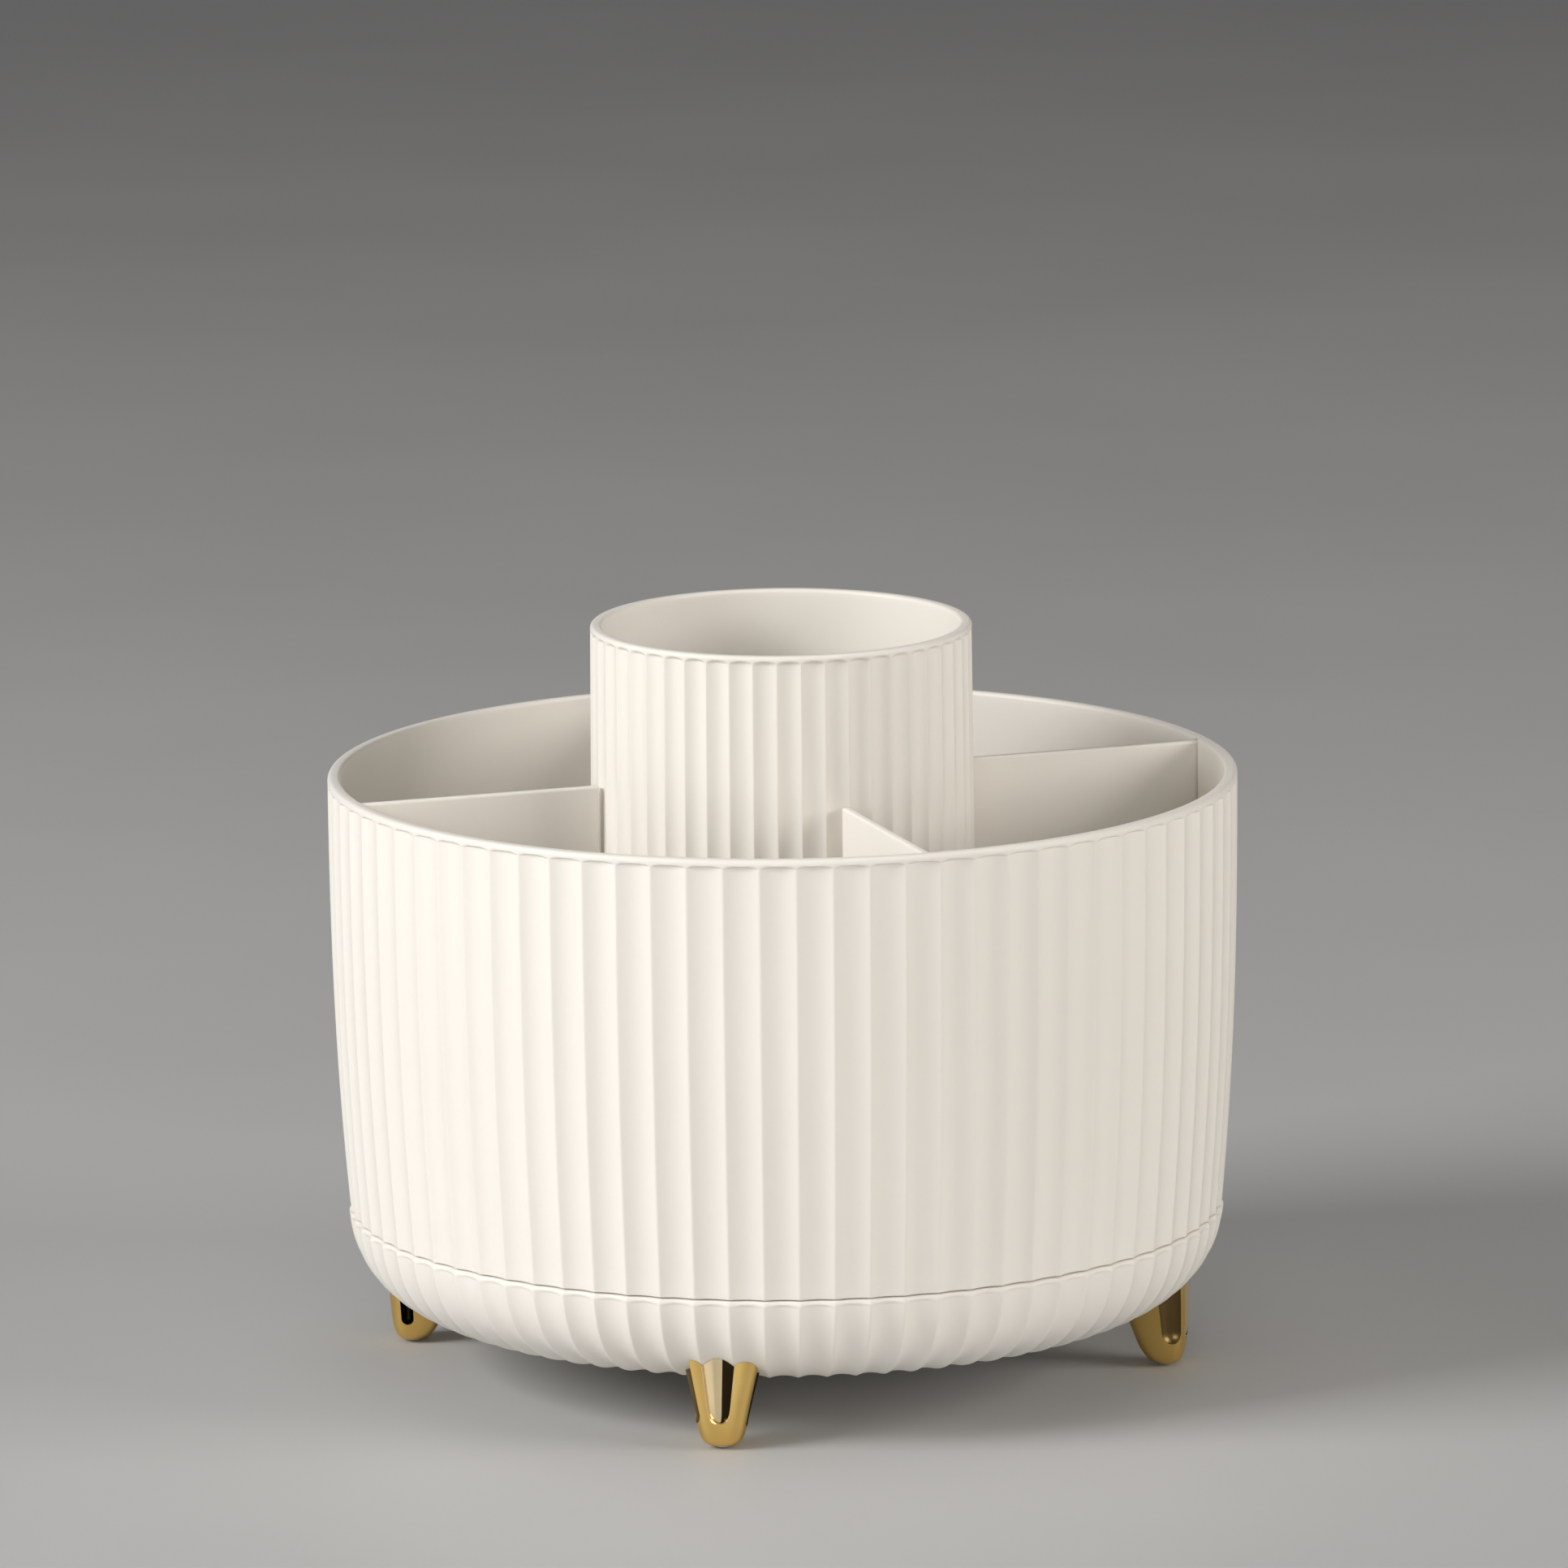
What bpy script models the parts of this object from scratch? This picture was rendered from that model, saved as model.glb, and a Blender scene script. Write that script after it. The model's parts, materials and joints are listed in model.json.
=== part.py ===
"""Rotating fluted brush and cosmetics holder: a fluted tub with a raised centre cup and four
dividers, turning on a ball ring inside a low fluted base that stands on four plated feet.

Metres, +Z up. The origin is on the table, at the centre under the object; the front foot is
on -Y. Every turned shape shares the Z axis, which is also the axis that the tub turns about.
"""

import math

import bmesh
import bpy
from mathutils import Matrix, Vector

MM = 0.001

# ---------------------------------------------------------------- driving dimensions
TUB_RADIUS = 85.0 * MM        # over the ridges, at the rim
TUB_TOP = 112.1 * MM          # rim above the table
TUB_BOTTOM = 29.9 * MM        # lower edge of the turning wall
TUB_PULL_IN = 3.0 * MM        # how far the wall draws in from rim to lower edge
TUB_PULL_POWER = 2.5
TUB_WALL = 2.4 * MM           # ridge to inner face
TUB_FLUTES = 80
TUB_FLUTE_DEPTH = 0.75 * MM
RIM_BAND = 1.4 * MM           # plain band above the flutes
FLOOR_TOP = 34.4 * MM
FLOOR_UNDER = 31.8 * MM
SKIRT_INNER = 79.6 * MM       # inner radius of the skirt below the floor

CUP_TOP = 140.0 * MM
CUP_BOTTOM = 34.7 * MM
CUP_RADIUS_TOP = 35.6 * MM
CUP_RADIUS_BOTTOM = 36.4 * MM
CUP_INNER_TOP = 33.4 * MM
CUP_INNER_BOTTOM = 33.0 * MM
CUP_FLOOR = 3.0 * MM
CUP_FLUTES = 50
CUP_TURN = 1.09               # degrees that the cup's flutes are turned by, from a flute on +X
CUP_FLUTE_DEPTH = 0.65 * MM

DIVIDER_AZIMUTH = -61.6       # degrees from +X, the first of four at right angles
DIVIDER_THICK = 1.6 * MM
DIVIDER_TOP = 111.5 * MM
DIVIDER_BOTTOM = 34.25 * MM
DIVIDER_GAP = 0.35 * MM       # between a divider's inner edge and the cup's ridges
DIVIDER_BITE = 0.5 * MM       # how far the outer edge sits in the wall's groove
SLOT_WIDTH = 2.2 * MM

BOWL_CENTRE_Z = 32.0 * MM     # the base's side is a quarter of a rounded ellipse
BOWL_HEIGHT = 21.0 * MM
BOWL_FLAT = 60.0 * MM         # radius of the flat underside
BOWL_REACH = 22.4 * MM
BOWL_POWER = 2.25
BASE_TOP = 29.55 * MM
BASE_UNDER = 11.0 * MM
BASE_FLOOR = 14.0 * MM
LIP_INNER, LIP_OUTER, LIP_TOP = 78.0 * MM, 79.2 * MM, 31.0 * MM
BASE_FLUTE_DEPTH = 0.75 * MM

DECK_RADIUS = 76.3 * MM
DECK_UNDER, DECK_TOP = 22.0 * MM, 24.0 * MM

RACE_RADIUS = 50.0 * MM       # ball pitch circle
BALL_RADIUS = 2.15 * MM
BALL_Z = 27.9 * MM
BALLS = 10

BOLT_RADIUS = 3.0 * MM

FOOT_RADIUS = 72.0 * MM       # circle through the four tips
STEM_RADIUS_AT = 68.5 * MM    # circle through the four screws
FOOT_AZIMUTHS = {"front": -90.0, "right": 0.0, "back": 90.0, "left": 180.0}

# ---------------------------------------------------------------- scene helpers
for old in list(bpy.data.objects):
    bpy.data.objects.remove(old, do_unlink=True)
for old in list(bpy.data.collections):
    bpy.data.collections.remove(old)
PARTS = bpy.data.collections.new("rotating_brush_holder")
CUTTERS = bpy.data.collections.new("cutters")
bpy.context.scene.collection.children.link(PARTS)
bpy.context.scene.collection.children.link(CUTTERS)


def material(name, colour, roughness, metallic=0.0):
    made = bpy.data.materials.new(name)
    made.use_nodes = True
    shader = made.node_tree.nodes["Principled BSDF"]
    shader.inputs["Base Color"].default_value = (*colour, 1.0)
    shader.inputs["Roughness"].default_value = roughness
    shader.inputs["Metallic"].default_value = metallic
    made.diffuse_color = (*colour, 1.0)
    return made


CREAM = material("cream_plastic", (0.86, 0.82, 0.75), 0.42)
GOLD = material("gold_plating", (0.83, 0.62, 0.27), 0.16, 1.0)
STEEL = material("zinc_steel", (0.62, 0.62, 0.63), 0.3, 1.0)
ACETAL = material("white_acetal", (0.88, 0.88, 0.87), 0.35)
PAD = material("clear_pad", (0.75, 0.75, 0.73), 0.5)


def polar(radius, degrees, z=0.0):
    a = math.radians(degrees)
    return Vector((radius * math.cos(a), radius * math.sin(a), z))


def keep(mesh, name, mat, parent=None, collection=PARTS):
    """One finished piece: its mesh, in place, with its own material."""
    ob = bpy.data.objects.new(name, mesh)
    collection.objects.link(ob)
    mesh.name = name
    mesh.materials.clear()
    if mat:
        mesh.materials.append(mat)
    if parent:
        ob.parent = parent
    return ob


def tidy(mesh, merge=1e-6):
    bm = bmesh.new()
    bm.from_mesh(mesh)
    bmesh.ops.remove_doubles(bm, verts=bm.verts, dist=merge)
    bmesh.ops.dissolve_degenerate(bm, edges=bm.edges, dist=1e-7)
    bmesh.ops.recalc_face_normals(bm, faces=bm.faces)
    bm.to_mesh(mesh)
    bm.free()
    mesh.update()
    return mesh


def baked(ob):
    """The object's evaluated mesh, in world space, and the object removed."""
    bpy.context.view_layer.update()
    graph = bpy.context.evaluated_depsgraph_get()
    mesh = bpy.data.meshes.new_from_object(ob.evaluated_get(graph))
    mesh.transform(ob.matrix_world)
    bpy.data.objects.remove(ob, do_unlink=True)
    return tidy(mesh)


def turned(profile, steps, closed=False):
    """A turned solid: (radius, z) points, from the top down its outer side, about Z."""
    mesh = bpy.data.meshes.new("profile")
    edges = [(i, i + 1) for i in range(len(profile) - 1)]
    if closed:
        edges.append((len(profile) - 1, 0))
    mesh.from_pydata([(r, 0.0, z) for r, z in profile], edges, [])
    ob = bpy.data.objects.new("profile", mesh)
    CUTTERS.objects.link(ob)
    screw = ob.modifiers.new("turn", "SCREW")
    screw.axis = "Z"
    screw.angle = 2 * math.pi
    screw.screw_offset = 0.0
    screw.steps = steps
    screw.render_steps = steps
    screw.use_merge_vertices = True
    screw.merge_threshold = 0.00001
    return baked(ob)


def fluted(mesh, count, depth_at):
    """Draws every second column of a turned mesh inwards, so that ridges stay between flutes.
    The mesh has two columns for each flute, and a flute is centred on +X."""
    for v in mesh.vertices:
        r = math.hypot(v.co.x, v.co.y)
        if r < 1e-6:
            continue
        column = round(math.atan2(v.co.y, v.co.x) / (math.pi / count))
        if column % 2 == 0:
            share = (r - depth_at(r, v.co.z)) / r
            v.co.x *= share
            v.co.y *= share
    mesh.update()
    return mesh


def cylinder(radius, z0, z1, at=(0.0, 0.0), segments=16, radius_top=None):
    bm = bmesh.new()
    bmesh.ops.create_cone(
        bm, cap_ends=True, cap_tris=False, segments=segments,
        radius1=radius, radius2=radius if radius_top is None else radius_top, depth=z1 - z0,
        matrix=Matrix.Translation((at[0], at[1], (z0 + z1) / 2)),
    )
    mesh = bpy.data.meshes.new("cylinder")
    bm.to_mesh(mesh)
    bm.free()
    return mesh


def ball(radius, centre, u=12, v=8):
    bm = bmesh.new()
    bmesh.ops.create_uvsphere(bm, u_segments=u, v_segments=v, radius=radius, matrix=Matrix.Translation(centre))
    mesh = bpy.data.meshes.new("ball")
    bm.to_mesh(mesh)
    bm.free()
    return mesh


def plate(outline, thickness, matrix):
    """A flat outline, as a filled 2D curve with half its thickness each way, put in place."""
    curve = bpy.data.curves.new("outline", "CURVE")
    curve.dimensions = "2D"
    curve.fill_mode = "BOTH"
    curve.extrude = thickness / 2
    spline = curve.splines.new("POLY")
    spline.points.add(len(outline) - 1)
    for point, (x, y) in zip(spline.points, outline):
        point.co = (x, y, 0.0, 1.0)
    spline.use_cyclic_u = True
    ob = bpy.data.objects.new("outline", curve)
    CUTTERS.objects.link(ob)
    ob.matrix_world = matrix
    return baked(ob)


def boolean(mesh, others, operation="DIFFERENCE"):
    """Cuts, or joins, one mesh with others."""
    ob = bpy.data.objects.new("work", mesh)
    CUTTERS.objects.link(ob)
    tools = []
    for i, other in enumerate(others):
        tool = bpy.data.objects.new("tool", other)
        tool.hide_render = True
        tool.display_type = "WIRE"
        CUTTERS.objects.link(tool)
        mod = ob.modifiers.new("cut%d" % i, "BOOLEAN")
        mod.operation = operation
        mod.solver = "EXACT"
        mod.object = tool
        tools.append(tool)
    result = baked(ob)
    for tool in tools:
        bpy.data.objects.remove(tool, do_unlink=True)
    return result


def moved(mesh, matrix):
    copy = mesh.copy()
    copy.transform(matrix)
    return copy


def about_z(degrees):
    return Matrix.Rotation(math.radians(degrees), 4, "Z")


def smooth(ob, degrees=35):
    ob.data.shade_smooth()
    ob.data.set_sharp_from_angle(angle=math.radians(degrees))


# ---------------------------------------------------------------- shared profiles
def tub_outer(z):
    u = max(0.0, (TUB_TOP - z) / (TUB_TOP - TUB_BOTTOM))
    return TUB_RADIUS - TUB_PULL_IN * u ** TUB_PULL_POWER


def tub_inner(z):
    return tub_outer(z) - TUB_WALL


def bowl(z):
    t = min(1.0, max(0.0, (BOWL_CENTRE_Z - z) / BOWL_HEIGHT))
    return BOWL_FLAT + BOWL_REACH * (1.0 - t ** BOWL_POWER) ** (1.0 / BOWL_POWER)


def cup_outer(z):
    return CUP_RADIUS_BOTTOM + (CUP_RADIUS_TOP - CUP_RADIUS_BOTTOM) * (z - CUP_BOTTOM) / (CUP_TOP - CUP_BOTTOM)


# ---------------------------------------------------------------- pivots (empties on the spin axis)
def pivot(name, z):
    e = bpy.data.objects.new(name, None)
    e.location = (0, 0, z)
    PARTS.objects.link(e)
    return e


carousel = pivot("carousel_axis", 0.0)
ball_ring = pivot("ball_ring_axis", 0.0)
base = pivot("base_frame", 0.0)

# ---------------------------------------------------------------- outer tub
BAND_Z = TUB_TOP - RIM_BAND
tub_profile = [
    (0.0, TUB_TOP),
    (TUB_RADIUS - 0.6 * MM, TUB_TOP),
    (TUB_RADIUS, TUB_TOP - 0.7 * MM),
    (tub_outer(BAND_Z), BAND_Z),
    (tub_outer(75 * MM), 75 * MM),
    (tub_outer(50 * MM), 50 * MM),
    (tub_outer(TUB_BOTTOM), TUB_BOTTOM),
    (0.0, TUB_BOTTOM),
]
tub = fluted(
    turned(tub_profile, TUB_FLUTES * 2), TUB_FLUTES,
    lambda r, z: TUB_FLUTE_DEPTH if z < BAND_Z + 0.1 * MM and r > 75 * MM else 0.0,
)
wall_levels = [111.2 * MM, 80 * MM, 52 * MM, 36.4 * MM]
hollow = turned(
    [(0.0, 118 * MM), (TUB_RADIUS - 2.0 * MM, 118 * MM), (TUB_RADIUS - 2.0 * MM, TUB_TOP)]
    + [(tub_inner(z), z) for z in wall_levels]
    + [(tub_inner(FLOOR_TOP) - 1.8 * MM, FLOOR_TOP), (0.0, FLOOR_TOP)], 64)
under = turned([(0.0, FLOOR_UNDER), (SKIRT_INNER, FLOOR_UNDER), (SKIRT_INNER, 25 * MM), (0.0, 25 * MM)], 48)
tub = boolean(tub, [hollow, under])
hub = cylinder(10.0 * MM, 28.0 * MM, 33.0 * MM, segments=32)
tub = boolean(tub, [hub], "UNION")


def divider_outline(gap, bite, bottom, top, corner):
    """Radius and height of a divider's edges: the inner one follows the cup and the outer one
    follows the tub's wall, as far into it as the bite."""
    levels = [36.4 * MM, 52 * MM, 80 * MM]
    points = [(cup_outer(bottom) + gap, bottom), (tub_inner(bottom) + bite - corner, bottom)]
    points += [(tub_inner(z) + bite, z) for z in levels]
    points += [(tub_inner(top) + bite, top), (cup_outer(top) + gap, top)]
    return points


def upright(azimuth):
    return about_z(azimuth) @ Matrix.Rotation(math.radians(90), 4, "X")


DIVIDERS = {
    "divider_front_right": DIVIDER_AZIMUTH,
    "divider_back_right": DIVIDER_AZIMUTH + 90,
    "divider_back_left": DIVIDER_AZIMUTH + 180,
    "divider_front_left": DIVIDER_AZIMUTH + 270,
}
grooves = [
    plate(divider_outline(-1.5 * MM, DIVIDER_BITE + 0.3 * MM, 33.9 * MM, DIVIDER_TOP + 4.0 * MM, 1.2 * MM), SLOT_WIDTH, upright(a))
    for a in DIVIDERS.values()
]
bolt_seat = cylinder(6.2 * MM, 30.4 * MM, 36 * MM, segments=24)
bolt_way = cylinder(3.35 * MM, 26 * MM, 32 * MM, segments=24)
CUP_SCREW_R, CUP_SCREW_AZ = 22.0 * MM, (31.3, 151.3, 271.3)
cup_ways = [cylinder(1.8 * MM, 30 * MM, 36 * MM, polar(CUP_SCREW_R, a)[:2], 10) for a in CUP_SCREW_AZ]
RACE_SCREW_R, UPPER_SCREW_AZ, LOWER_SCREW_AZ = 57.6 * MM, (90.0, 210.0, 330.0), (30.0, 150.0, 270.0)
race_ways = [cylinder(1.5 * MM, 30 * MM, 33.6 * MM, polar(RACE_SCREW_R, a)[:2], 8) for a in UPPER_SCREW_AZ]
tub = boolean(tub, grooves + [bolt_seat, bolt_way] + cup_ways + race_ways)
smooth(keep(tub, "outer_tub", CREAM, carousel), 9)

# ---------------------------------------------------------------- centre cup
cup = turned([
    (0.0, CUP_TOP), (CUP_RADIUS_TOP - 0.6 * MM, CUP_TOP), (CUP_RADIUS_TOP, CUP_TOP - 0.6 * MM),
    (cup_outer(CUP_TOP - 1.2 * MM), CUP_TOP - 1.2 * MM),
    (cup_outer(88 * MM), 88 * MM), (cup_outer(CUP_BOTTOM), CUP_BOTTOM), (0.0, CUP_BOTTOM),
], CUP_FLUTES * 2)
cup = fluted(cup, CUP_FLUTES, lambda r, z: CUP_FLUTE_DEPTH if z < CUP_TOP - 1.1 * MM and r > 30 * MM else 0.0)
cup.transform(about_z(CUP_TURN))
cup_hollow = turned([
    (0.0, 146 * MM), (CUP_INNER_TOP + 0.4 * MM, 146 * MM), (CUP_INNER_TOP + 0.4 * MM, CUP_TOP),
    (CUP_INNER_TOP, CUP_TOP - 0.6 * MM), (CUP_INNER_BOTTOM, CUP_BOTTOM + CUP_FLOOR + 1.5 * MM),
    (CUP_INNER_BOTTOM - 1.5 * MM, CUP_BOTTOM + CUP_FLOOR), (0.0, CUP_BOTTOM + CUP_FLOOR),
], 40)
cup_pilots = [cylinder(1.45 * MM, 33 * MM, 37.0 * MM, polar(CUP_SCREW_R, a)[:2], 8) for a in CUP_SCREW_AZ]
cup = boolean(cup, [cup_hollow] + cup_pilots)
smooth(keep(cup, "center_cup", CREAM, carousel), 12)

# ---------------------------------------------------------------- dividers
for name, azimuth in DIVIDERS.items():
    panel = plate(divider_outline(DIVIDER_GAP, DIVIDER_BITE, DIVIDER_BOTTOM, DIVIDER_TOP, 1.4 * MM), DIVIDER_THICK, upright(azimuth))
    keep(panel, name, CREAM, carousel)


# ---------------------------------------------------------------- fasteners
def fastener(head_r, head_h, shank_r, length, steps=8):
    """A pan head on +Z with its seat at z = 0 and the shank going down, one turned body."""
    return turned([
        (0.0, head_h), (head_r * 0.72, head_h), (head_r, head_h * 0.55), (head_r, 0.0),
        (shank_r, 0.0), (shank_r, -length + shank_r * 0.6), (shank_r * 0.45, -length), (0.0, -length),
    ], steps)


def copies(name, mesh, places, mat, parent):
    """One object for each copy of a repeated piece: NAME_1, NAME_2 and so on."""
    for i, place in enumerate(places, 1):
        keep(moved(mesh, place), "%s_%d" % (name, i), mat, parent)


UP = Matrix.Rotation(math.pi, 4, "X")   # turns a fastener over, head down
copies("upper_race_screw", fastener(2.1 * MM, 1.2 * MM, 1.2 * MM, 3.2 * MM),
      [Matrix.Translation(polar(RACE_SCREW_R, a, 29.7 * MM)) @ UP for a in UPPER_SCREW_AZ], STEEL, carousel)
copies("cup_screw", fastener(3.0 * MM, 1.5 * MM, 1.15 * MM, 5.2 * MM),
      [Matrix.Translation(polar(CUP_SCREW_R, a, 31.5 * MM)) @ UP for a in CUP_SCREW_AZ], STEEL, carousel)

# ---------------------------------------------------------------- ball bearing
RACE_FACE = 26.6 * MM         # top of the lower race; the upper race mirrors it about the ball centres
GROOVE_R, GROOVE_LOW = 2.9 * MM, 25.4 * MM
spread = math.acos(1 - (RACE_FACE - GROOVE_LOW) / GROOVE_R)
race_groove = [
    (RACE_RADIUS + GROOVE_R * math.sin(spread * i / 2), GROOVE_LOW + GROOVE_R * (1 - math.cos(spread * i / 2)))
    for i in (-2, -1, 0, 1, 2)]
lower_profile = [
    (54.6 * MM, RACE_FACE), (54.6 * MM, 25.7 * MM), (60.4 * MM, 25.7 * MM), (60.4 * MM, 24.3 * MM),
    (43.5 * MM, 24.3 * MM), (43.5 * MM, RACE_FACE)] + race_groove
lower_race = turned(lower_profile, 36, closed=True)
upper_profile = [(r, 2 * BALL_Z - z) for r, z in lower_profile][::-1]
upper_race = turned(upper_profile, 36, closed=True)
low_ways = [cylinder(1.5 * MM, 20 * MM, 30 * MM, polar(RACE_SCREW_R, a)[:2], 8) for a in LOWER_SCREW_AZ]
up_ways = [cylinder(1.5 * MM, 26 * MM, 36 * MM, polar(RACE_SCREW_R, a)[:2], 8) for a in UPPER_SCREW_AZ]
keep(boolean(lower_race, low_ways), "lower_race", ACETAL, base)
keep(boolean(upper_race, up_ways), "upper_race", ACETAL, carousel)

ball_places = [polar(RACE_RADIUS, 15 + 360.0 * i / BALLS, BALL_Z) for i in range(BALLS)]
copies("bearing_ball", ball(BALL_RADIUS, Vector((0, 0, 0)), 8, 6), [Matrix.Translation(p) for p in ball_places], STEEL, ball_ring)
cage = turned([(53.8 * MM, 28.6 * MM), (53.8 * MM, 27.2 * MM), (46.2 * MM, 27.2 * MM), (46.2 * MM, 28.6 * MM)], 36, closed=True)
cage = boolean(cage, [cylinder(2.75 * MM, 26 * MM, 30 * MM, p[:2], 8) for p in ball_places])
keep(cage, "ball_cage", ACETAL, ball_ring)

# ---------------------------------------------------------------- pivot
bolt = turned([
    (0.0, 34.0 * MM), (4.6 * MM, 34.0 * MM), (5.6 * MM, 33.2 * MM), (5.6 * MM, 30.7 * MM), (BOLT_RADIUS, 30.7 * MM),
    (BOLT_RADIUS, 15.7 * MM), (BOLT_RADIUS - 0.5 * MM, 15.2 * MM), (0.0, 15.2 * MM)], 24)
bolt = boolean(bolt, [cylinder(2.3 * MM, 32.0 * MM, 36 * MM, segments=6)])
keep(bolt, "pivot_bolt", STEEL, carousel)
nut = boolean(cylinder(5.75 * MM, 16.1 * MM, 18.7 * MM, segments=6), [cylinder(3.3 * MM, 15 * MM, 20 * MM, segments=24)])
keep(nut, "pivot_nut", STEEL, carousel)
washer = turned([(6.6 * MM, 19.9 * MM), (6.6 * MM, 19.0 * MM), (3.35 * MM, 19.0 * MM), (3.35 * MM, 19.9 * MM)], 24, closed=True)
keep(washer, "pivot_washer", STEEL, carousel)
bush = turned([
    (7.6 * MM, 27.6 * MM), (7.6 * MM, 26.6 * MM), (4.9 * MM, 26.6 * MM), (4.9 * MM, 20.3 * MM),
    (3.3 * MM, 20.3 * MM), (3.3 * MM, 27.6 * MM)], 24, closed=True)
keep(bush, "pivot_bush", ACETAL, base)

# ---------------------------------------------------------------- base deck: carries the lower race
DECK_BOSS_R, DECK_BOSS_AZ = 36.0 * MM, (45.0, 135.0, 225.0, 315.0)
deck = turned([(0.0, DECK_TOP), (DECK_RADIUS, DECK_TOP), (DECK_RADIUS, DECK_UNDER), (0.0, DECK_UNDER)], 48)
adds = [cylinder(8.6 * MM, 20.3 * MM, 26.3 * MM, segments=24)]
adds += [cylinder(4.0 * MM, 14.3 * MM, 23.0 * MM, polar(DECK_BOSS_R, a)[:2], 16) for a in DECK_BOSS_AZ]
adds += [cylinder(3.0 * MM, 18.6 * MM, 23.0 * MM, polar(RACE_SCREW_R, a)[:2], 12) for a in LOWER_SCREW_AZ]
deck = boolean(deck, adds, "UNION")
cuts = [cylinder(5.25 * MM, 18 * MM, 28 * MM, segments=24)]
cuts += [cylinder(1.6 * MM, 12 * MM, 21.4 * MM, polar(DECK_BOSS_R, a)[:2], 8) for a in DECK_BOSS_AZ]
cuts += [cylinder(1.5 * MM, 17 * MM, 26 * MM, polar(RACE_SCREW_R, a)[:2], 8) for a in LOWER_SCREW_AZ]
deck = boolean(deck, cuts)
keep(deck, "base_deck", CREAM, base)
copies("lower_race_screw", fastener(2.1 * MM, 1.1 * MM, 1.2 * MM, 6.4 * MM),
      [Matrix.Translation(polar(RACE_SCREW_R, a, 26.0 * MM)) for a in LOWER_SCREW_AZ], STEEL, base)

# ---------------------------------------------------------------- base shell
BOWL_LEVELS = [26.0, 21.6, 17.6, 14.4, 12.2]
shell_profile = [
    (0.0, LIP_TOP), (LIP_OUTER, LIP_TOP), (LIP_OUTER, BASE_TOP), (bowl(BASE_TOP) - 0.3 * MM, BASE_TOP)]
shell_profile += [(bowl(BASE_TOP), BASE_TOP - 0.5 * MM)]
shell_profile += [(bowl(z * MM), z * MM) for z in BOWL_LEVELS]
shell_profile += [(BOWL_FLAT, BASE_UNDER), (0.0, BASE_UNDER)]


def base_flute(r, z):
    if r < LIP_OUTER + 0.2 * MM and z > BASE_TOP - 0.1 * MM:
        return 0.0
    share = (r - 61.5 * MM) / (8.0 * MM)
    return BASE_FLUTE_DEPTH * min(1.0, max(0.0, share))


shell = fluted(turned(shell_profile, TUB_FLUTES * 2), TUB_FLUTES, base_flute)
cavity = turned([
    (0.0, 36 * MM), (LIP_INNER, 36 * MM), (LIP_INNER, 24.5 * MM), (76.5 * MM, 20.5 * MM), (73.4 * MM, 17.5 * MM),
    (68.5 * MM, 15.2 * MM), (62 * MM, BASE_FLOOR), (0.0, BASE_FLOOR)], 48)
# each foot's screw boss is left standing on the floor of the hollow
cavity = boolean(cavity, [cylinder(5.0 * MM, 10.0 * MM, 17.6 * MM, polar(STEM_RADIUS_AT, a)[:2], 16) for a in FOOT_AZIMUTHS.values()])
shell = boolean(shell, [cavity])
cuts = [cylinder(3.4 * MM, 8 * MM, 20 * MM, polar(STEM_RADIUS_AT, a)[:2], 16) for a in FOOT_AZIMUTHS.values()]
cuts += [cylinder(3.4 * MM, 9 * MM, 12.8 * MM, polar(DECK_BOSS_R, a)[:2], 16) for a in DECK_BOSS_AZ]
cuts += [cylinder(1.8 * MM, 9 * MM, 16 * MM, polar(DECK_BOSS_R, a)[:2], 10) for a in DECK_BOSS_AZ]
shell = boolean(shell, cuts)
smooth(keep(shell, "base_shell", CREAM, base), 12)
copies("base_screw", fastener(2.9 * MM, 1.4 * MM, 1.25 * MM, 7.6 * MM),
      [Matrix.Translation(polar(DECK_BOSS_R, a, 12.55 * MM)) @ UP for a in DECK_BOSS_AZ], STEEL, base)

# ---------------------------------------------------------------- feet
# z, inner and outer radius from the object's axis, half width across, and how square: the
# sections go from nearly round at the tip to square with rounded corners under the base
FOOT_SECTIONS = [
    (0.35, 69.9, 74.0, 2.3, 2.1), (0.75, 69.0, 74.7, 3.0, 2.2), (1.8, 68.0, 75.3, 3.85, 2.35),
    (3.6, 66.9, 75.75, 4.4, 2.5), (7.0, 65.6, 76.05, 5.1, 2.75), (11.5, 63.9, 76.2, 6.1, 3.0),
    (19.0, 60.8, 76.35, 7.9, 3.2),
]
FOOT_SIDES = 16
FOOT_TAPER = 0.12             # a section is this much wider at its outer side, and narrower inside
# the raised rib up the outer face: z, half width of its pocket, and how far its crest stands out
RIB_SECTIONS = [(5.0, 0.6, -0.4), (5.6, 1.5, -0.2), (6.9, 2.15, 0.05), (9.0, 2.4, 0.15), (15.7, 3.1, 0.15), (20.0, 3.55, 0.15)]
RIB_GAP, RIB_SINK, RIB_CREST = 0.15, 0.5, 0.27


def outer_face(z):
    levels = [(s[0], s[2]) for s in FOOT_SECTIONS]
    for (z0, r0), (z1, r1) in zip(levels, levels[1:]):
        if z <= z1:
            return r0 + (r1 - r0) * (z - z0) / (z1 - z0)
    return levels[-1][1]


def loft(rings, name):
    """A closed solid through rings of the same number of points, in millimetres."""
    bm = bmesh.new()
    made = [[bm.verts.new((x * MM, y * MM, z * MM)) for x, y, z in ring] for ring in rings]
    for low, high in zip(made, made[1:]):
        for i in range(len(low)):
            j = (i + 1) % len(low)
            bm.faces.new((low[i], low[j], high[j], high[i]))
    bm.faces.new(made[0][::-1])
    bm.faces.new(made[-1])
    mesh = bpy.data.meshes.new(name)
    bm.to_mesh(mesh)
    bm.free()
    return tidy(mesh)


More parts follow.
